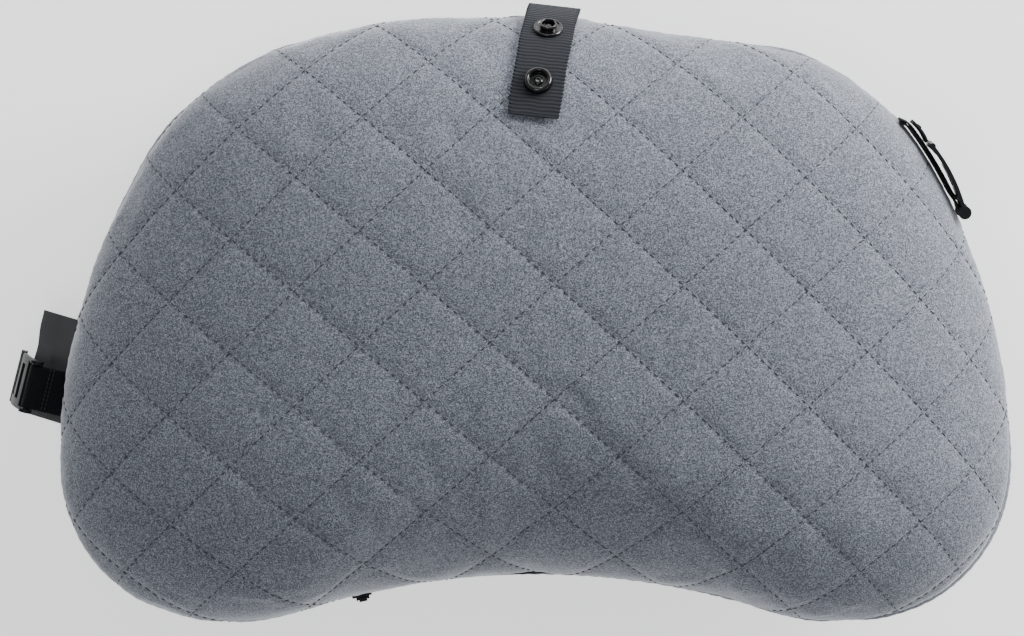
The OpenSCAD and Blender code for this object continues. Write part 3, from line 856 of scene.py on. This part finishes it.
def stitch_lines():
    """The quilting lines as polylines on the finished front, with their surface normals."""
    c, r = lattice(F_flat)
    nodes_c, nodes_r = c.ravel(), r.ravel()
    tree = KDTree(len(nodes_c))
    for i, (a, b) in enumerate(zip(nodes_c, nodes_r)):
        tree.insert((a, b, 0), i)
    tree.balance()
    pos = SURFACE.reshape(-1, 3)
    nrm = F_normal.reshape(-1, 3)
    lines = []
    for family in (1, -1):
        for k in range(-25, 31, 2):
            run = []
            for t in np.arange(-26, 30, 0.035):
                cc, rr = ((k + t) / 2, (k - t) / 2) if family == 1 else ((k + t) / 2, (t - k) / 2)
                found = tree.find_n((cc, rr, 0), 5)
                if found[0][2] > 0.07:
                    if len(run) > 6:
                        lines.append(run)
                    run = []
                    continue
                i = [x[1] for x in found]
                w = 1 / (np.array([x[2] for x in found]) + 0.004) ** 2
                w /= w.sum()
                d = np.stack([nodes_c[i] - cc, nodes_r[i] - rr], 1)
                a = np.concatenate([np.ones((5, 1)), d], 1) * w[:, None]
                sol = np.linalg.lstsq(a, pos[i] * w[:, None], rcond=None)[0][0]
                if np.linalg.norm(sol - pos[i[0]]) > 0.004:
                    sol = (pos[i] * w[:, None]).sum(0)
                run.append((sol, unit((nrm[i] * w[:, None]).sum(0))))
            if len(run) > 6:
                lines.append(run)
    return lines


PITCH = 0.0042  # from one stitch to the next
stitches = Tubes()
for run in stitch_lines():
    p = np.array([x[0] for x in run])
    q = np.array([x[1] for x in run])
    soften(p, 3)
    along = run_length(p)
    s = 0.0006
    while s + 0.0028 < along[-1]:
        length = 0.0023 + 0.0002 * rng.standard_normal()
        at = s + np.array([-0.0002, 0.0003, length * 0.35, length * 0.65, length - 0.0003, length + 0.0002])
        path = np.stack([np.interp(at, along, p[:, k]) for k in range(3)], 1)
        nn = unit(np.stack([np.interp(at, along, q[:, k]) for k in range(3)], 1))
        rise = np.array([-0.00035, 0.00004, 0.0002, 0.0002, 0.00004, -0.00035])
        radii = np.array([0.00012, 0.0002, 0.00024, 0.00024, 0.0002, 0.00012])
        stitches.add(path + nn * rise[:, None], radii, nn)
        s += PITCH + 0.0002 * rng.standard_normal()
quilt_stitches = stitches.make("quilt_stitches", M["thread"])
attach(quilt_stitches, "pillow")


# ---------------------------------------------------------------- perimeter seam
def seam_ridge():
    """The two turned-in edges that meet at the bottom of the seam's valley, with their stitching."""
    n = 1100
    share = np.arange(n) / n
    o = LOOP.at(share)
    a0 = np.arcsin(seam_rise(o) / (PEAK - SEAM))
    base = np.concatenate([o * spread(a0)[:, None], (SEAM + seam_rise(o))[:, None]], 1)
    t = unit(np.roll(base, -1, 0) - np.roll(base, 1, 0))
    out = unit(np.cross(t, (0, 0, 1)))
    up = np.cross(out, t)
    base = base - out * 0.0022
    s = share * LOOP.length
    wob = 0.00018 * np.sin(2 * math.pi * s / 0.0058 + 2 * np.sin(s / 0.013))
    ring = []
    section = [(-0.8, 1.0), (0.35, 1.15), (0.75, 0.75), (0.62, 0.2), (0.3, 0.0), (0.62, -0.2), (0.75, -0.75),
               (0.35, -1.15), (-0.8, -1.0)]
    for a, b in section:
        ring.append(base + out * (a * MM + wob[:, None] * (1 if b > 0 else -1)) + up * (b * MM))
    v = np.stack(ring, 1)
    m = len(section)
    f = grid_faces(n, m, wrap_rows=True)
    return mesh_object("perimeter_seam", v.reshape(-1, 3), f, [M["back_knit"]])


ridge = seam_ridge()
place(ridge, "pillow", "back_knit")


# ---------------------------------------------------------------- tapes, ribbon, webbing, label
def ribbon_mesh(name, line, lateral, width, thick, material, columns, profile, edge, outward=None):
    """A flat tape swept along a line, with a top, a bottom and rounded edges, and weave coordinates."""
    line = np.asarray(line, float)
    lateral = unit(lateral)
    tangent = unit(np.gradient(line, axis=0))
    normal = unit(np.cross(tangent, lateral))
    if outward is not None and (normal * outward).sum() < 0:
        normal = -normal
    along = run_length(line)
    across = np.linspace(-1, 1, columns)
    across = np.sign(across) * (1 - (1 - np.abs(across)) ** 1.25)
    half = thick / 2 * np.sqrt(np.clip(1 - np.abs(across) ** 14, 0.02, 1))
    rows, weave = [], []
    for sgn in (1, -1):
        order = across if sgn == 1 else across[::-1]
        hh = half if sgn == 1 else half[::-1]
        for x, h in zip(order, hh):
            extra = profile(along, x)
            w = width / 2 + edge(along, x)
            rows.append(line + lateral * (x * w[:, None]) + normal * (sgn * (h + extra))[:, None])
            # the third weave coordinate is the rib height, which the ribbon's material turns into painted
            # shade between the ribs
            rib = extra / max(np.abs(extra).max(), 1e-9)
            weave.append(np.stack([along, np.full(len(line), x * width / 2), rib], 1))
    v = np.stack(rows, 1)
    m = len(rows)
    n = len(line)
    faces = []
    for i in range(n - 1):
        a, b = i * m, (i + 1) * m
        for j in range(m):
            k = (j + 1) % m
            faces.append((a + j, b + j, b + k, a + k))
    for row, flip in ((0, False), (n - 1, True)):
        for j in range(columns - 1):
            q = (row * m + j, row * m + j + 1, row * m + m - 2 - j, row * m + m - 1 - j)
            faces.append(q[::-1] if flip else q)
    o = mesh_object(name, v.reshape(-1, 3), faces, [material])
    bm = bmesh.new()
    bm.from_mesh(o.data)
    bmesh.ops.recalc_face_normals(bm, faces=bm.faces)
    bm.to_mesh(o.data)
    bm.free()
    store(o, "weave", np.stack(weave, 1).reshape(-1, 3))
    return o


def resample(line, step, times):
    """The line with evenly spaced points, evened out a number of times."""
    line = np.asarray(line, float)
    along = run_length(line)
    at = np.linspace(0, along[-1], max(3, int(along[-1] / step) + 1))
    p = np.stack([np.interp(at, along, line[:, k]) for k in range(3)], 1)
    soften(p, times)
    return p


def tab_line():
    """The ribbon tab's centreline, from its two CAD pieces."""
    axis = joint_axis("tab_fold")
    every, widths = [], []
    for node in ("snap_tab_base", "snap_tab_flap"):
        p = points(node)
        lat = p @ axis
        side = p[lat > lat.max() - 2e-5]
        centre = (lat.max() + lat.min()) / 2
        chord = unit(side[np.argmax(side[:, 2])] - side[np.argmin(side[:, 2])])
        side = side[np.argsort(side @ chord)]
        mid = (side[0::2][:len(side) // 2] + side[1::2]) / 2
        mid = mid + axis * (centre - mid @ axis)[:, None]
        every.append(mid)
        widths.append(lat.max() - lat.min())
    return np.vstack(every), axis, widths[0]


tab_pts, tab_axis, tab_width = tab_line()
tab_pts = tab_pts[np.argsort(tab_pts[:, 2])]
TAB_STEP = 0.00022
tab_center = resample(tab_pts, TAB_STEP, 60)
RIB = 0.00178  # from one rib of the grosgrain to the next


def ribs(along, x):
    edge = smoothstep(0.86, 0.98, abs(x))
    wave = 0.5 + 0.5 * np.cos(2 * math.pi * (along + 0.00018 * math.sin(7 * x)) / RIB)
    rib = (wave ** 0.7) * (0.00017 + 0.00016 * edge)
    end = along[-1] - along
    melt = smoothstep(0.0011, 0.0002, end)
    return rib * (1 - melt) + 0.00012 * melt


def selvedge(along, x):
    knot = 0.00022 * np.cos(2 * math.pi * along / RIB) + 0.00012 * np.sin(along / 0.0041)
    end = smoothstep(0.0010, 0.0, along[-1] - along)
    return (knot - 0.0004 * end) * smoothstep(0.6, 1.0, abs(x))


ribbon = ribbon_mesh("snap_tab_ribbon", tab_center, tab_axis, tab_width, 0.0007, M["ribbon"], 30, ribs,
                     selvedge, outward=np.array([0, 0.5, 1.0]))
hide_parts("snap_tab_base", "snap_tab_flap")
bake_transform(ribbon)

for node in ("snap_stud", "snap_stud_rivet", "snap_socket", "snap_socket_rivet"):
    fitting(node, "tab_base" if "stud" in node else "tab_flap", "snap_black", bevel=0.14, limit=22)


def loop_line(root, bar, lateral, between=None, inner=0.00205, gap=0.00058):
    """A webbing loop's section: out from its root, round the bar and back."""
    lateral = unit(lateral)
    line = np.vstack([root, bar]) if between is None else between
    line = resample(line, 0.0006, 4)
    t = unit(np.gradient(line, axis=0))
    n = unit(np.cross(lateral, t))
    to_bar = np.linalg.norm(line - bar, axis=1)
    open_ = inner - (inner - gap) * smoothstep(0.0016, 0.0062, to_bar)
    keep = to_bar > 0.0016
    line, t, n, open_ = line[keep], t[keep], n[keep], open_[keep]
    ahead = t[-1]
    side = n[-1]
    start = math.atan2((line[-1] - bar) @ ahead, open_[-1])
    arc = [bar + inner * (math.cos(a) * side + math.sin(a) * ahead)
           for a in np.linspace(start, math.pi - start, 15)[1:-1]]
    out = line + n * open_[:, None]
    home = (line - n * open_[:, None])[::-1]
    return resample(np.vstack([out, arc, home]), 0.0004, 5)


def web_relief(along, x):
    edge = smoothstep(0.8, 0.97, abs(x))
    turn = 2 * math.pi * along / WEB_PITCH
    return 0.00005 * np.cos(turn + 3 * x) + 0.00012 * edge * np.cos(turn)


def web_edge(along, x):
    return 0.00012 * np.cos(2 * math.pi * along / WEB_PITCH) * abs(x)


TUCK = 0.0042  # how far the sewn pieces run on into the seam


def sewn_in(o):
    """Bakes the piece's placement into its mesh."""
    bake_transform(o)


def webbing(name, node, root_joint, bar_joint, between=None):
    """A strap's webbing, from inside the seam to its bar. Gives its width."""
    lateral = joint_axis(root_joint)
    root, bar = joint_pos(root_joint), joint_pos(bar_joint)
    p = points(node)
    width = (p @ lateral).max() - (p @ lateral).min() - 0.0002
    middle = np.vstack([root, bar]) if between is None else between
    ahead = unit(middle[1] - middle[0])
    inward = ahead if between is None else unit(ahead + 0.6 * unit(np.array([*middle[0][:2], 0])))
    middle = np.vstack([middle[0] - inward * TUCK, middle])
    line = loop_line(root, bar, lateral, middle)
    o = ribbon_mesh(name, line, lateral, width, 0.00098, M["webbing"], 26, web_relief, web_edge)
    sewn_in(o)
    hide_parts(node)
    return width


webbing("left_webbing", "left_strap", "left_strap_swing", "left_hook_swing")


def shoulder_path():
    """The right strap lies on an arc along the pillow's side."""
    height = joint_pos("right_strap_swing")[2]
    root, bar = joint_pos("right_strap_swing")[:2], joint_pos("right_hook_swing")[:2]
    r0, rest_r, r1 = 0.1803, 0.1811, 0.183  # from the arc's centre: its root, most of its run, its bar
    d = np.linalg.norm(bar - root)
    e = (bar - root) / d
    a = (r0 ** 2 - r1 ** 2 + d * d) / (2 * d)
    h = math.sqrt(r0 ** 2 - a * a)
    options = [root + e * a + s * h * np.array([-e[1], e[0]]) for s in (1, -1)]
    centre = min(options, key=lambda c: np.linalg.norm(c))
    t0 = math.atan2(*(root - centre)[::-1])
    t1 = math.atan2(*(bar - centre)[::-1])
    out = []
    for k in np.linspace(0, 1, 40):
        t = t0 + (t1 - t0) * k
        r = rest_r + (r1 - rest_r) * smoothstep(0.75, 1.0, k)
        out.append([centre[0] + r * math.cos(t), centre[1] + r * math.sin(t), height])
    return np.array(out), centre


path, STRAP_C = shoulder_path()
right_width = webbing("right_webbing", "right_strap", "right_strap_swing",
                      "right_hook_swing", between=path)


def root_fold():
    """The webbing's turned end and bar tack where the right strap leaves the seam."""
    first = path[0]
    t = unit(path[1] - path[0])
    n = unit(np.array([first[0] - STRAP_C[0], first[1] - STRAP_C[1], 0]))
    pts = []
    for k in np.linspace(0, 1, 24):
        s = 0.0004 + k * 0.0106
        h = 0.0022 + 0.0006 * math.sin(k * math.pi)
        i = np.interp(s, np.linspace(0, 0.046, 40), np.arange(40))
        j = int(i)
        base = path[j] * (1 - (i - j)) + path[min(j + 1, 39)] * (i - j)
        nn = unit(np.array([base[0] - STRAP_C[0], base[1] - STRAP_C[1], 0]))
        pts.append(base + nn * h)
    o = ribbon_mesh("right_webbing_fold", resample(pts, 0.0004, 3), (0, 0, 1), right_width - 0.001, 0.0017,
                    M["webbing"], 26, web_relief, web_edge)
    place(o, "right_strap_body", "webbing")
    tack = Tubes()
    for z in np.linspace(-0.42, 0.42, 26) * right_width:
        a, b = pts[6] + n * 0.00095, pts[9] + n * 0.00095
        zz = np.array([0, 0, z])
        p = np.stack([a + zz, (a + b) / 2 + zz + n * 0.0002, b + zz + np.array([0, 0, 0.0003])])
        tack.add(p, [0.00016, 0.00022, 0.00016], np.tile(n, (3, 1)))
    o = tack.make("right_bar_tack", M["thread"])
    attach(o, "right_strap_body")


root_fold()


def left_stitching():
    """Two rows of stitching across the left loop, close to its bar."""
    root, bar = joint_pos("left_strap_swing"), joint_pos("left_hook_swing")
    lateral = joint_axis("left_strap_swing")
    t = unit(bar - root)
    n = unit(np.cross(lateral, t))
    if n[2] < 0:
        n = -n
    thread = (-0.0002, 0.00012, 0.00012, -0.0002)  # how far each stitch's points stand out
    rows = Tubes()
    for place in (0.0042, 0.0058):
        for w in np.arange(-0.0088, 0.0088, 0.0019):
            for side in (1, -1):
                base = root + t * place + lateral * w + n * side * 0.00114
                p = np.stack([base + lateral * run + n * side * rise
                              for run, rise in zip((0, 0.0004, 0.0010, 0.0014), thread)])
                rows.add(p, [0.00013, 0.00019, 0.00019, 0.00013], np.tile(n, (4, 1)))
    o = rows.make("left_strap_stitching", M["thread"])
    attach(o, "left_strap_body")


left_stitching()

for node in ("left_hook", "right_hook"):
    fitting(node, node + "_body", "hardware_black", bevel=0.3, limit=35, segments=3)


def care_label():
    """A blank satin label, folded at the seam, with a slight curl."""
    axis = joint_axis("label_swing")
    root = joint_pos("label_swing")
    p = points("care_label")
    centre = (p.min(0) + p.max(0)) / 2
    lat = p @ axis
    width = lat.max() - lat.min()
    drop = centre - root
    drop = unit(drop - axis * (drop @ axis))
    dist = (p - root) @ drop
    far = p[dist > dist.max() - 1e-5].mean(0) - root
    near_ = p[dist < dist.min() + 1e-5].mean(0) - root
    far, near_ = far - axis * (far @ axis), near_ - axis * (near_ @ axis)
    length = np.linalg.norm(far - near_)
    d = unit(far - near_)
    n = unit(np.cross(d, axis))
    if n[2] < 0:
        n = -n
    mid = root + near_ + axis * ((lat.max() + lat.min()) / 2 - (root + near_) @ axis)
    rows, cols = 60, 110
    u = np.linspace(-TUCK / length, 1, rows)
    w = np.linspace(-0.5, 0.5, cols)
    uu, ww = np.meshgrid(u, w, indexing="ij")
    out = np.maximum(uu, 0)
    curl = 0.0006 * out ** 2 * np.sin(ww * 5.0 + 0.6) + 0.00035 * out * np.sin(ww * 17 + 1.0)
    v = mid + d * (uu * length)[..., None] + axis * (ww * width)[..., None] + n * curl[..., None]
    o = mesh_object("care_label_satin", v.reshape(-1, 3), grid_faces(rows, cols), [M["label_satin"]])
    store(o, "weave", np.stack([uu * length, ww * width, np.zeros_like(uu)], 2).reshape(-1, 3))
    s = o.modifiers.new("cloth", "SOLIDIFY")
    s.thickness, s.offset = 0.00032, 0
    sewn_in(o)
    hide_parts("care_label")


care_label()


# ---------------------------------------------------------------- zip
def weave_from_place(node):
    """Weave coordinates of a zip tape: along the neck's arc, up the tape."""
    me = NODES[node].data.copy()
    o = add_object(node + "_woven", me)
    co = corners(me)
    ang = np.arctan2(co[:, 0] - ZIP_C[0], co[:, 1] - ZIP_C[1])
    store(o, "weave", np.stack([ang * NECK_R, co[:, 2], np.zeros(len(co))], 1))
    me.materials.clear()
    me.materials.append(M["zip_tape"])
    place(o, "pillow", "zip_tape", node)


for node in ("zip_tape_upper", "zip_tape_lower"):
    weave_from_place(node)


def zip_coil():
    """Two rows of nylon coil, each turn a bent loop that locks into the other row."""
    lo, hi = (np.array(v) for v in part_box("zip_coil"))
    zc = (lo[2] + hi[2]) / 2
    radius = NECK_R + 0.0008
    half = math.asin(hi[0] / (radius + 0.001))
    pitch = 0.00145
    slope = math.radians(9)
    # one turn of coil, in mm outwards, in mm up and in pitches along
    turn = [(0.55, 1.45, 0.0), (-0.05, 1.4, 0.0), (-0.3, 0.9, 0.05), (-0.32, 0.15, 0.1), (-0.12, -0.12, 0.2),
            (0.25, -0.1, 0.3), (0.5, 0.2, 0.38), (0.62, 0.9, 0.45), (0.6, 1.45, 0.5)]
    tubes = Tubes()
    n = int(2 * half * radius / pitch)
    for k in range(n):
        for side in (1, -1):
            a = -half + (k + (0.25 if side == 1 else 0.75)) * pitch / radius
            rad = np.array([math.sin(a), math.cos(a), 0])
            tan = np.array([math.cos(a), -math.sin(a), 0])
            out = rad * math.cos(slope) + np.array([0, 0, 1]) * math.sin(slope)
            rise = -rad * math.sin(slope) + np.array([0, 0, 1]) * math.cos(slope)
            o = np.array([ZIP_C[0], ZIP_C[1], zc]) + rad * radius
            line = np.array([o + out * q[0] * MM + rise * side * q[1] * MM + tan * (q[2] - 0.25) * pitch
                             for q in turn])
            tubes.add(line, [0.00024] * len(turn), np.tile(out, (len(turn), 1)) + 0.01)
    o = tubes.make("zip_coil_turns", M["zip_nylon"])
    place(o, "pillow", "zip_nylon", "zip_coil")


zip_coil()
for node, body, slot in (("zip_stops", "pillow", "zip_nylon"),
                         ("zip_slider", "zip_slider_body", "hardware_black"),
                         ("zip_pull", "zip_pull_body", "hardware_black")):
    fitting(node, body, slot, bevel=0.18, limit=30)

# ---------------------------------------------------------------- valve and inner parts
for node, body, slot, bevel in (("valve_housing", "pillow", "valve_plastic", 0.2),
                                ("valve_rosette", "pillow", "valve_plastic", 0.25),
                                ("valve_cap", "valve_cap_body", "valve_plastic", 0.25),
                                ("valve_flap", "valve_flap_body", "valve_rubber", 0.1)):
    fitting(node, body, slot, bevel, limit=25)
for node in ("bladder_top_skin", "bladder_bottom_skin", "bladder_baffles"):
    o = NODES[node]
    o.data.materials.clear()
    o.data.materials.append(M["bladder_film"])

# ---------------------------------------------------------------- stage, light, camera
FLOOR, FLOOR_Z = 3, -0.0004  # half of the floor's side, and just below the pillow
floor_corners = [(x * FLOOR, y * FLOOR, FLOOR_Z) for x, y in ((-1, -1), (1, -1), (1, 1), (-1, 1))]
floor = mesh_object("floor", floor_corners, [(0, 1, 2, 3)], smooth=False)
t = Tree("floor_white")
floor.data.materials.append(t.finish((0.93, 0.93, 0.93), 0.8, Emission_Color=(1, 1, 1, 1),
                                     Emission_Strength=0.9))

world = bpy.data.worlds.new("studio")
world.use_nodes = True
world.node_tree.nodes["Background"].inputs[0].default_value = (0.95, 0.97, 1.0, 1)
world.node_tree.nodes["Background"].inputs[1].default_value = 0.4
bpy.context.scene.world = world


def softbox(name, place, target, size, power):
    d = bpy.data.lights.new(name, "AREA")
    d.shape, d.size, d.size_y, d.energy = "RECTANGLE", size[0], size[1], power
    o = add_object(name, d)
    o.location = place
    o.rotation_euler = (Vector(target) - Vector(place)).to_track_quat("-Z", "Y").to_euler()


softbox("key", (1.4, 0.9, 0.5), (0.05, 0, 0.06), (0.8, 0.8), 52)
softbox("top", (0.25, 1.5, 0.55), (0, 0, 0.06), (1.2, 0.6), 15)
softbox("above", (-0.3, -0.3, 1.8), (0, 0, 0.1), (0.7, 0.7), 6)

TILT = math.radians(4.5)     # of the camera, from straight above
DISTANCE, WIDE = 3.0, 0.459  # from the camera to the pillow, and the width it takes in there
target = Vector((-0.0105, 0.0055, SEAM))
back_dir = Vector((0, math.sin(TILT), math.cos(TILT)))
cam = bpy.data.cameras.new("camera")
SENSOR = 36
cam.sensor_width, cam.lens = SENSOR, SENSOR * DISTANCE / WIDE
camera = add_object("camera", cam)
camera.location = target + back_dir * DISTANCE
forward = -back_dir
right = forward.cross(Vector((0, 1, 0))).normalized()
up = right.cross(forward)
from_axes = [[right[i], up[i], -forward[i], camera.location[i]] for i in range(3)] + [[0, 0, 0, 1]]
camera.matrix_world = Matrix(from_axes)
bpy.context.scene.camera = camera
